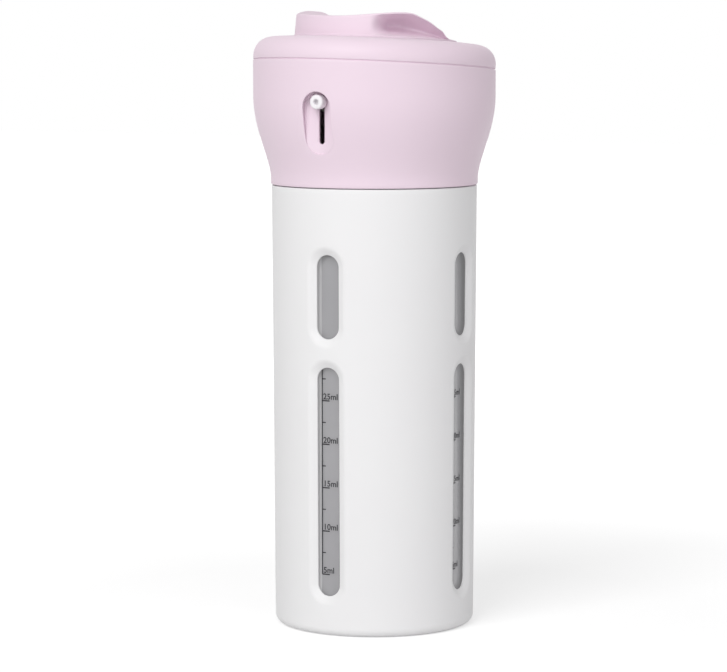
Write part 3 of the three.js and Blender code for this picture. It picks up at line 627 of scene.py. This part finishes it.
def undercut(azimuth):
    """How deep the wall is hollowed under the beak, as a share of its height."""
    if not BEAK_START < azimuth < BEAK_END:
        return 0.0
    share = min((azimuth - BEAK_START) / (BEAK_FULL - BEAK_START), 1)
    return BEAK_UNDERCUT * share * share * (3 - 2 * share)


def rim_edge(rise):
    """The radius of the rim's rounded edge, which is smaller where the rim is low."""
    return min(KNOB_RIM_EDGE, KNOB_LOW_RIM_EDGE * rise)


def knob_wall(rise):
    return KNOB_RADIUS - KNOB_PLATE_EDGE - rise * KNOB_TAPER


def knob_side(share, rise, azimuth):
    height = share * (rise - rim_edge(rise))
    return knob_wall(height) - undercut(azimuth) * rise * math.sin(math.pi * share), KNOB_PLATE_TOP + height


def knob_rounding(turn, rise, azimuth):
    edge = rim_edge(rise)
    return (knob_wall(rise - edge) - edge * (1 - math.cos(turn)),
            KNOB_PLATE_TOP + rise - edge * (1 - math.sin(turn)))


def knob_top(share, rise, azimuth):
    curve = KNOB_DISH_CURVE if rise > KNOB_DISH else KNOB_FALL_CURVE
    return knob_wall(rise) * share, KNOB_PLATE_TOP + KNOB_DISH + (rise - KNOB_DISH) * share ** curve


def knob_ring(place, share):
    """A ring round the knob, whose radius and height come from place at each azimuth."""
    points = []
    for i in range(KNOB_STEPS):
        azimuth = 360 * i / KNOB_STEPS
        radius, height = place(share, rim_height(azimuth), azimuth)
        turn = math.radians(azimuth)
        points.append((radius * math.sin(turn), -radius * math.cos(turn), height))
    return points


def selector_knob():
    """The low round knob, whose rim winds up to a curled beak, hollowed underneath."""
    inner = KNOB_RADIUS - KNOB_SKIRT_WALL
    outer = KNOB_RADIUS - KNOB_PLATE_EDGE
    foot = KNOB_BASE - KNOB_SKIRT_DEPTH
    base = [(0, KNOB_BASE), (inner - KNOB_SLOPE_WIDTH, KNOB_BASE), (inner, KNOB_BASE - KNOB_SLOPE_DROP),
            (inner, foot), (outer, foot), (outer, KNOB_BASE - LID_DROP),
            (KNOB_RADIUS, KNOB_BASE + KNOB_PLATE_EDGE - LID_DROP),
            (KNOB_RADIUS, KNOB_PLATE_TOP - KNOB_PLATE_EDGE),
            (KNOB_RADIUS - FINE_EDGE, KNOB_PLATE_TOP - KNOB_PLATE_BEVEL), (outer, KNOB_PLATE_TOP)]
    rings = circles(base, KNOB_STEPS)
    rings += [knob_ring(knob_side, share) for share in KNOB_SIDE_SHARES]
    rings += [knob_ring(knob_rounding, math.radians(turn)) for turn in KNOB_ROUNDING_TURNS]
    rings += [knob_ring(knob_top, share) for share in KNOB_TOP_SHARES]
    sheet = Sheet()
    sheet.strip(rings)
    sheet.moved(SLANT)
    return new_mesh("knob_visual", sheet.points, sheet.faces, sharp_angle=40)


# Spout, bottles and their print

def spout_nozzle():
    """The white round spout tip, its bore and the thin web that passes through the slit."""
    back = RECESS_FLOOR + SPOUT_GAP
    shoulder = SPOUT_REACH - SPOUT_ROUNDING
    bottom = SPOUT_REACH - SPOUT_BORE_DEPTH
    profile = [(0, back), (SPOUT_RADIUS, back), (SPOUT_RADIUS, shoulder)]
    profile += arc(SPOUT_RADIUS - SPOUT_ROUNDING, shoulder, SPOUT_ROUNDING, 0, 90, 6)
    profile += [(SPOUT_BORE + SPOUT_BORE_EDGE, SPOUT_REACH), (SPOUT_BORE, SPOUT_REACH - SPOUT_BORE_EDGE),
                (SPOUT_BORE, bottom), (0, bottom)]
    sheet = lathe(profile, SPOUT_STEPS)
    sheet.moved(Matrix.Translation((0, 0, SPOUT_HEIGHT)) @ Matrix.Rotation(math.pi / 2, 4, "X"))
    web = oblong(WEB_HALF_WIDTH, SPOUT_HEIGHT - WEB_HALF_HEIGHT, SPOUT_HEIGHT + WEB_HALF_HEIGHT)
    sheet.strip([[(x, -reach, z) for x, z in web] for reach in (back + WEB_OVERLAP, WEB_START)])
    return new_mesh("spout_visual", sheet.points, sheet.faces, sharp_angle=40)


def squared(point):
    """Moves a point of a round bottle out to its rounded wedge of a body, and leaves the neck round."""
    x, y, z = point
    radius = math.hypot(x, y)
    if radius <= BOTTLE_NECK:
        return point
    power = BOTTLE_SQUARENESS
    reach = (abs(x / radius) ** power + abs(y / radius) ** power) ** (-1 / power)
    reach *= BOTTLE_BODY / BOTTLE_RADIUS
    scale = 1 + (reach - 1) * min(1, (radius - BOTTLE_NECK) / (BOTTLE_RADIUS - BOTTLE_WALL - BOTTLE_NECK))
    x, y = x * scale, y * scale - BOTTLE_CIRCLE
    inset = BOTTLE_RADIUS - radius
    inward = min(1, (BOTTLE_REACH - inset) / math.hypot(x, y))
    x, y = x * inward, y * inward
    widest = -y - BOTTLE_SIDE_GAP - inset
    return max(-widest, min(x, widest)), y + BOTTLE_CIRCLE, z


def shoulder_curve(body, neck, base, steps):
    """Points of a bottle's shoulder, from the body's radius in to the neck's."""
    turns = [math.pi / 2 * i / SHOULDER_STEPS for i in steps]
    return [(body - (body - neck) * (1 - math.cos(t)), base + SHOULDER_RISE * math.sin(t)) for t in turns]


def refill_bottle(side):
    """A clear bottle with a rounded base, soft shoulder and plain neck."""
    low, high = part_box(f"refill_bottle_{side}")
    bottom, top = low.z / MM, high.z / MM
    shoulder = top - BOTTLE_NECK_HEIGHT - SHOULDER_RISE
    inner, throat = BOTTLE_RADIUS - BOTTLE_WALL, BOTTLE_NECK - BOTTLE_WALL
    profile = [(0, bottom)]
    profile += arc(BOTTLE_RADIUS - BOTTLE_CORNER, bottom + BOTTLE_CORNER, BOTTLE_CORNER, -90, 0, 8)
    profile += shoulder_curve(BOTTLE_RADIUS, BOTTLE_NECK, shoulder, range(SHOULDER_STEPS + 1))
    profile += [(BOTTLE_NECK, top - BOTTLE_NECK_EDGE), (BOTTLE_NECK - BOTTLE_NECK_EDGE, top), (throat, top),
                (throat, shoulder + SHOULDER_RISE - THROAT_ROOM)]
    profile += shoulder_curve(inner, throat, shoulder - BOTTLE_WALL, range(SHOULDER_STEPS - 1, -1, -1))
    profile += [(inner, bottom + 2 * BOTTLE_WALL), (inner - BOTTLE_WALL, bottom + BOTTLE_WALL),
                (0, bottom + BOTTLE_WALL)]
    sheet = lathe(profile, BOTTLE_STEPS)
    sheet.points = [squared(point) for point in sheet.points]
    turn = Matrix.Rotation(BOTTLE_TURNS[side], 4, "Z") @ Matrix.Translation((0, -BOTTLE_CIRCLE, 0))
    sheet.moved(turn)
    piece = new_mesh(f"bottle_visual_{side}", sheet.points, sheet.faces, sharp_angle=50)
    back = turn.inverted()
    across = piece.data.attributes.new("across", "FLOAT", "POINT")
    across.data.foreach_set("value", [(back @ (v.co / MM)).x for v in piece.data.vertices])
    return piece


def scale_bars():
    """The scale's long line, ticks and underlines, as (left, right, low, high)."""
    half = SCALE_LINE_WIDTH / 2
    bars = [(SCALE_LINE - half, SCALE_LINE + half, SCALE_FIRST, LOW_WINDOW[1] + SCALE_LINE_OVERLAP)]
    for mark in range(SCALE_MARKS):
        z = SCALE_FIRST + mark * SCALE_STEP
        for height, (length, thick) in ((z, SCALE_UNDERLINE), (z + SCALE_STEP / 2, SCALE_TICK)):
            bars.append((SCALE_LINE, SCALE_LINE + length, height - thick, height + thick))
    return bars


def add_words(sheet, body, x, z):
    """Adds the flat faces of a few letters to a sheet, at (x, z)."""
    words = bpy.data.curves.new(body, "FONT")
    words.body = body
    words.size = SCALE_TEXT_SIZE
    words.resolution_u = 3
    words.offset = SCALE_TEXT_BOLDNESS
    text = bpy.data.objects.new(body, words)
    bpy.context.scene.collection.objects.link(text)
    depsgraph = bpy.context.evaluated_depsgraph_get()
    shape = bpy.data.meshes.new_from_object(text.evaluated_get(depsgraph))
    first = len(sheet.points)
    sheet.points.extend((x + v.co.x, 0.0, z + v.co.y) for v in shape.vertices)
    sheet.faces.extend(tuple(first + i for i in p.vertices) for p in shape.polygons)
    bpy.data.objects.remove(text)
    bpy.data.curves.remove(words)
    bpy.data.meshes.remove(shape)


def scale_print(side):
    """The bottle's plain volume scale: one long line, short ticks and underlined numbers."""
    sheet = Sheet()
    for left, right, low, high in scale_bars():
        columns = [left + (right - left) * i / SCALE_COLUMNS for i in range(SCALE_COLUMNS + 1)]
        rows = [low + (high - low) * i / SCALE_ROWS for i in range(SCALE_ROWS + 1)]
        sheet.strip([[(x, 0.0, z) for x in columns] for z in rows], closed=False)
    for mark in range(SCALE_MARKS):
        z = SCALE_FIRST + mark * SCALE_STEP + SCALE_TEXT_PLACE[1]
        add_words(sheet, f"{SCALE_VOLUME_STEP * (mark + 1)}ml", SCALE_LINE + SCALE_TEXT_PLACE[0], z)
    skin = BOTTLE_BODY + SCALE_SKIN
    power = BOTTLE_SQUARENESS
    sheet.points = [(x, -BOTTLE_CIRCLE - (skin ** power - abs(x) ** power) ** (1 / power), z)
                    for x, _, z in sheet.points]
    sheet.moved(Matrix.Rotation(BOTTLE_TURNS[side], 4, "Z"))
    return new_mesh(f"scale_print_{side}", sheet.points, sheet.faces)


def return_spring():
    """The pump's return spring, with closed ends."""
    low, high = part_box("return_spring")
    top = high.z / MM
    wire_low, wire_high = low.z / MM + SPRING_WIRE, top - SPRING_WIRE
    steps = int(SPRING_TURNS * SPRING_TURN_STEPS)
    sides = [2 * math.pi * j / SPRING_WIRE_SIDES for j in range(SPRING_WIRE_SIDES)]
    rings = []
    for i in range(steps + 1):
        turned = i / SPRING_TURN_STEPS
        ramp = min(max((turned - 1) / (SPRING_TURNS - 2), 0), 1)
        ends = min(turned, 1) + max(turned - SPRING_TURNS + 1, 0)
        z = wire_low + SPRING_END_RISE * ends + (wire_high - wire_low - 2 * SPRING_END_RISE) * ramp
        turn = 2 * math.pi * turned
        ring = []
        for b in sides:
            reach = SPRING_RADIUS + SPRING_WIRE * math.cos(b)
            height = min(z + SPRING_WIRE * math.sin(b), top)
            ring.append((reach * math.cos(turn), reach * math.sin(turn), height))
        rings.append(ring)
    sheet = Sheet()
    sheet.strip(rings)
    sheet.cap(list(reversed(rings[0])))
    sheet.cap(rings[-1])
    return new_mesh("spring_visual", sheet.points, sheet.faces)


# Materials

def srgb(*channels):
    """A linear colour from an 8-bit one."""
    return tuple((c / 255 / 12.92) if c <= 10 else ((c / 255 + 0.055) / 1.055) ** 2.4 for c in channels)


def set_inputs(node, **values):
    """Sets a node's sockets by their names, with _ for a space."""
    for name, value in values.items():
        node.inputs[name.replace("_", " ")].default_value = value


def new_material(name, color, roughness, **values):
    """A material and its shader, whose other sockets are set by name."""
    material = bpy.data.materials.new(name)
    material.use_nodes = True
    shader = material.node_tree.nodes["Principled BSDF"]
    shader.inputs["Base Color"].default_value = (*color, 1)
    shader.inputs["Roughness"].default_value = roughness
    set_inputs(shader, **values)
    return material, shader


def plastic(name, color, shade, roughness, grain=0.05, **values):
    """Moulded plastic: a faint drift of colour, uneven gloss and a fine skin."""
    material, shader = new_material(name, color, roughness, **values)
    tree = material.node_tree
    place = tree.nodes.new("ShaderNodeTexCoord")
    drift = tree.nodes.new("ShaderNodeTexNoise")
    set_inputs(drift, Scale=28.0, Detail=3.0, Roughness=0.55)
    blend = tree.nodes.new("ShaderNodeMix")
    blend.data_type = "RGBA"
    blend.inputs["A"].default_value = (*color, 1)
    blend.inputs["B"].default_value = (*shade, 1)
    gloss = tree.nodes.new("ShaderNodeMapRange")
    set_inputs(gloss, To_Min=roughness - 0.05, To_Max=roughness + 0.06)
    skin = tree.nodes.new("ShaderNodeTexNoise")
    set_inputs(skin, Scale=900.0, Detail=2.0)
    bump = tree.nodes.new("ShaderNodeBump")
    set_inputs(bump, Strength=grain, Distance=0.0002)
    link = tree.links.new
    link(place.outputs["Object"], drift.inputs["Vector"])
    link(place.outputs["Object"], skin.inputs["Vector"])
    link(drift.outputs["Fac"], blend.inputs["Factor"])
    link(blend.outputs["Result"], shader.inputs["Base Color"])
    link(drift.outputs["Fac"], gloss.inputs["Value"])
    link(gloss.outputs["Result"], shader.inputs["Roughness"])
    link(skin.outputs["Fac"], bump.inputs["Height"])
    link(bump.outputs["Normal"], shader.inputs["Normal"])
    return material


# Painted light: the bottle is painted paler left of its printed line, to lift the shade that the window's
# edge casts there. The paler colour starts and is full this far left of the printed line
PAINTED_LIGHT_START = 0.1
PAINTED_LIGHT_FULL = 0.5


def clear_bottle():
    """Smoky clear plastic with a faint painted glow, and painted light: paler in the strip beside the
    printed line, where the window's edge shades it.
    """
    # Its faint white emission is a painted glow that brightens the bottle where the sleeve shades it behind
    # the windows
    material = plastic("bottle_clear", srgb(141, 140, 143), srgb(136, 135, 139), 0.2, grain=0.02,
                       Subsurface_Weight=0.7, Subsurface_Scale=0.008, Subsurface_Radius=(1, 1, 1),
                       Emission_Color=(1, 1, 1, 1), Emission_Strength=0.1)
    tree = material.node_tree
    shader = tree.nodes["Principled BSDF"]
    across = tree.nodes.new("ShaderNodeAttribute")
    across.attribute_name = "across"
    strip = tree.nodes.new("ShaderNodeMapRange")
    set_inputs(strip, From_Min=SCALE_LINE - PAINTED_LIGHT_START, From_Max=SCALE_LINE - PAINTED_LIGHT_FULL)
    painted_light = tree.nodes.new("ShaderNodeMix")
    painted_light.data_type = "RGBA"
    # Painted light: a paler colour that lifts the shade beside the window's edge
    painted_light.inputs["B"].default_value = (*srgb(192, 191, 193), 1)
    link = tree.links.new
    link(across.outputs["Fac"], strip.inputs["Value"])
    link(strip.outputs["Result"], painted_light.inputs["Factor"])
    link(shader.inputs["Base Color"].links[0].from_socket, painted_light.inputs["A"])
    link(painted_light.outputs["Result"], shader.inputs["Base Color"])
    return material


def spring_steel():
    """Bright drawn wire with fine scratches along it."""
    material, shader = new_material("spring_steel", (0.6, 0.6, 0.62), 0.28, Metallic=1.0)
    tree = material.node_tree
    scratches = tree.nodes.new("ShaderNodeTexNoise")
    set_inputs(scratches, Scale=1800.0, Detail=2.0)
    gloss = tree.nodes.new("ShaderNodeMapRange")
    set_inputs(gloss, To_Min=0.2, To_Max=0.4)
    tree.links.new(scratches.outputs["Fac"], gloss.inputs["Value"])
    tree.links.new(gloss.outputs["Result"], shader.inputs["Roughness"])
    return material


WHITE = plastic("white_plastic", srgb(241, 241, 241), srgb(238, 237, 238), 0.5, Specular_IOR_Level=0.15)
PINK = plastic("pink_plastic", srgb(238, 219, 231), srgb(235, 215, 228), 0.5, Specular_IOR_Level=0.4)
SPOUT_WHITE = plastic("spout_white", srgb(246, 243, 246), srgb(240, 238, 240), 0.42, Specular_IOR_Level=0.3)
NATURAL = plastic("natural_plastic", srgb(226, 226, 220), srgb(218, 218, 212), 0.5)
RUBBER = plastic("seal_rubber", srgb(120, 122, 125), srgb(104, 106, 110), 0.75, grain=0.15)
CLEAR = clear_bottle()
PRINT = plastic("scale_ink", srgb(52, 51, 55), srgb(44, 43, 47), 0.6)
STEEL = spring_steel()
NODE_MATERIALS = {
    "manifold": NATURAL, "valve_disc": NATURAL, "pump_barrel": NATURAL, "press_carriage": NATURAL,
    "drive_shaft": NATURAL, "valve_seal": RUBBER, "piston_seal": RUBBER, "outlet_ball": STEEL,
    "sleeve_collar": WHITE, "pump_deck": WHITE,
}


def dress_nodes():
    """Gives each CAD node that stays its own plastic, rubber or steel."""
    looks = dict(NODE_MATERIALS)
    for side in BOTTLE_TURNS:
        looks[f"bottle_cap_{side}"] = WHITE
        looks[f"neck_seal_{side}"] = RUBBER
        looks[f"dip_tube_{side}"] = NATURAL
    for name, material in looks.items():
        node = nodes[name]
        node.data.materials.clear()
        node.data.materials.append(material)


def add(piece, material, body, slot, *replaced):
    """Gives a piece its material and body, and hides the CAD nodes that it stands in for. The slot is not
    used.
    """
    piece.data.materials.append(material)
    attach(piece, body)
    if replaced:
        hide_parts(*replaced)
    return piece


def build():
    add(outer_sleeve(), WHITE, "base", "white_shell", "outer_sleeve")
    add(head_shell(), PINK, "head", "pink_shell", "head_shell")
    add(top_lid(), PINK, "head", "pink_shell", "top_lid")
    add(selector_knob(), PINK, "knob", "pink_shell", "selector_knob")
    add(spout_nozzle(), SPOUT_WHITE, "carriage", "white_spout", "spout_nozzle")
    for side in BOTTLE_TURNS:
        add(refill_bottle(side), CLEAR, "head", "clear_bottle", f"refill_bottle_{side}")
        add(scale_print(side), PRINT, "head", "clear_bottle")
    spring = add(return_spring(), STEEL, "head", "spring_steel", "return_spring")
    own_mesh(spring)
    dress_nodes()


# Stage, in metres

CAMERA_AZIMUTH = math.radians(28.2)
CAMERA_DISTANCE = 1.10
CAMERA_HEIGHT = 0.2117
CAMERA_PITCH = math.radians(5.741)
FOCAL_PIXELS = 3141.7
FRAME_PIXELS = 727
AXIS_PIXEL = 374.4
SENSOR = 36.0

# Lamps by azimuth from the camera's, elevation, distance, side, power and colour
LAMPS = {
    "key": (-28, 37, 2.2, 1.3, 26, (1, 1, 1)),
    "fill": (32, 10, 2.2, 1.3, 7.0, (0.98, 0.96, 1.0)),
    "top": (150, 70, 2.0, 1.2, 1.5, (1, 1, 1)),
}
LAMP_AIM = Vector((0, 0, 0.11))
WORLD_STRENGTH = 0.42
FLOOR_REACH = 4.0
FLOOR_COLOR = (0.8, 0.8, 0.8)
FLOOR_SEEN_COLOR = (0.6, 0.6, 0.6, 1)
FLOOR_GLOW = 0.54
FLOOR_FAR_GLOW = 0.9
FLOOR_NEAR = 0.12
FLOOR_FAR = 0.6


def camera():
    """The photograph's view, with the object's axis at its own pixel column."""
    lens = bpy.data.cameras.new("camera")
    lens.sensor_width = SENSOR
    lens.lens = FOCAL_PIXELS / FRAME_PIXELS * SENSOR
    lens.shift_x = (FRAME_PIXELS / 2 - AXIS_PIXEL) / FRAME_PIXELS
    seat = bpy.data.objects.new("camera", lens)
    across = CAMERA_DISTANCE * math.sin(CAMERA_AZIMUTH)
    back = -CAMERA_DISTANCE * math.cos(CAMERA_AZIMUTH)
    seat.location = (across, back, CAMERA_HEIGHT)
    seat.rotation_euler = (math.pi / 2 - CAMERA_PITCH, 0, CAMERA_AZIMUTH)
    bpy.context.scene.collection.objects.link(seat)
    bpy.context.scene.camera = seat


def area_light(name, azimuth, elevation, distance, side, power, color):
    """A soft square lamp that faces the object's middle."""
    lamp = bpy.data.lights.new(name, "AREA")
    lamp.shape = "RECTANGLE"
    lamp.size = lamp.size_y = side
    lamp.energy = power
    lamp.color = color
    turn = CAMERA_AZIMUTH + math.radians(azimuth)
    rise = math.radians(elevation)
    flat = math.cos(rise)
    place = Vector((math.sin(turn) * flat, -math.cos(turn) * flat, math.sin(rise))) * distance
    seat = bpy.data.objects.new(name, lamp)
    seat.location = LAMP_AIM + place
    seat.rotation_euler = (-place).to_track_quat("-Z", "Y").to_euler()
    bpy.context.scene.collection.objects.link(seat)


def seen_ray(tree):
    """One for the rays that show the backdrop: camera, glossy and transmission rays."""
    path = tree.nodes.new("ShaderNodeLightPath")
    total = path.outputs["Is Camera Ray"]
    for name in ("Is Glossy Ray", "Is Transmission Ray"):
        larger = tree.nodes.new("ShaderNodeMath")
        larger.operation = "MAXIMUM"
        tree.links.new(total, larger.inputs[0])
        tree.links.new(path.outputs[name], larger.inputs[1])
        total = larger.outputs[0]
    return total


def studio_world():
    """Plain light for the object, and plain white where the backdrop is seen."""
    world = bpy.data.worlds.new("studio")
    bpy.context.scene.world = world
    world.use_nodes = True
    tree = world.node_tree
    sky = tree.nodes["Background"]
    set_inputs(sky, Color=(1, 1, 1, 1), Strength=WORLD_STRENGTH)
    bright = tree.nodes.new("ShaderNodeBackground")
    set_inputs(bright, Color=(1, 1, 1, 1))
    mix = tree.nodes.new("ShaderNodeMixShader")
    link = tree.links.new
    link(seen_ray(tree), mix.inputs["Fac"])
    link(sky.outputs["Background"], mix.inputs[1])
    link(bright.outputs["Background"], mix.inputs[2])
    link(mix.outputs["Shader"], tree.nodes["World Output"].inputs["Surface"])


def floor_paint():
    """A white floor that still takes the object's shadow and glows a little more far away."""
    paint, shader = new_material("floor_paint", FLOOR_COLOR, 0.9, Specular_IOR_Level=0.1)
    tree = paint.node_tree
    place = tree.nodes.new("ShaderNodeNewGeometry")
    away = tree.nodes.new("ShaderNodeVectorMath")
    away.operation = "LENGTH"
    fade = tree.nodes.new("ShaderNodeMapRange")
    set_inputs(fade, From_Min=FLOOR_NEAR, From_Max=FLOOR_FAR, To_Min=FLOOR_GLOW, To_Max=FLOOR_FAR_GLOW)
    glow = tree.nodes.new("ShaderNodeEmission")
    set_inputs(glow, Color=(1, 1, 1, 1))
    dim = tree.nodes.new("ShaderNodeBsdfDiffuse")
    set_inputs(dim, Color=FLOOR_SEEN_COLOR)
    both = tree.nodes.new("ShaderNodeAddShader")
    mix = tree.nodes.new("ShaderNodeMixShader")
    link = tree.links.new
    link(place.outputs["Position"], away.inputs[0])
    link(away.outputs["Value"], fade.inputs["Value"])
    link(fade.outputs["Result"], glow.inputs["Strength"])
    link(glow.outputs["Emission"], both.inputs[0])
    link(dim.outputs["BSDF"], both.inputs[1])
    link(seen_ray(tree), mix.inputs["Fac"])
    link(shader.outputs["BSDF"], mix.inputs[1])
    link(both.outputs["Shader"], mix.inputs[2])
    link(mix.outputs["Shader"], tree.nodes["Material Output"].inputs["Surface"])
    return paint


def stage():
    """The floor, the world's light and the lamps."""
    studio_world()
    floor = bpy.data.meshes.new("floor")
    reach = FLOOR_REACH
    corners = [(-reach, -reach, 0), (reach, -reach, 0), (reach, reach, 0), (-reach, reach, 0)]
    floor.from_pydata(corners, [], [(0, 1, 2, 3)])
    floor.materials.append(floor_paint())
    ground = bpy.data.objects.new("floor", floor)
    bpy.context.scene.collection.objects.link(ground)
    for name, settings in LAMPS.items():
        area_light(name, *settings)


build()
camera()
stage()
bpy.context.scene.view_settings.view_transform = "Standard"
bpy.context.view_layer.update()
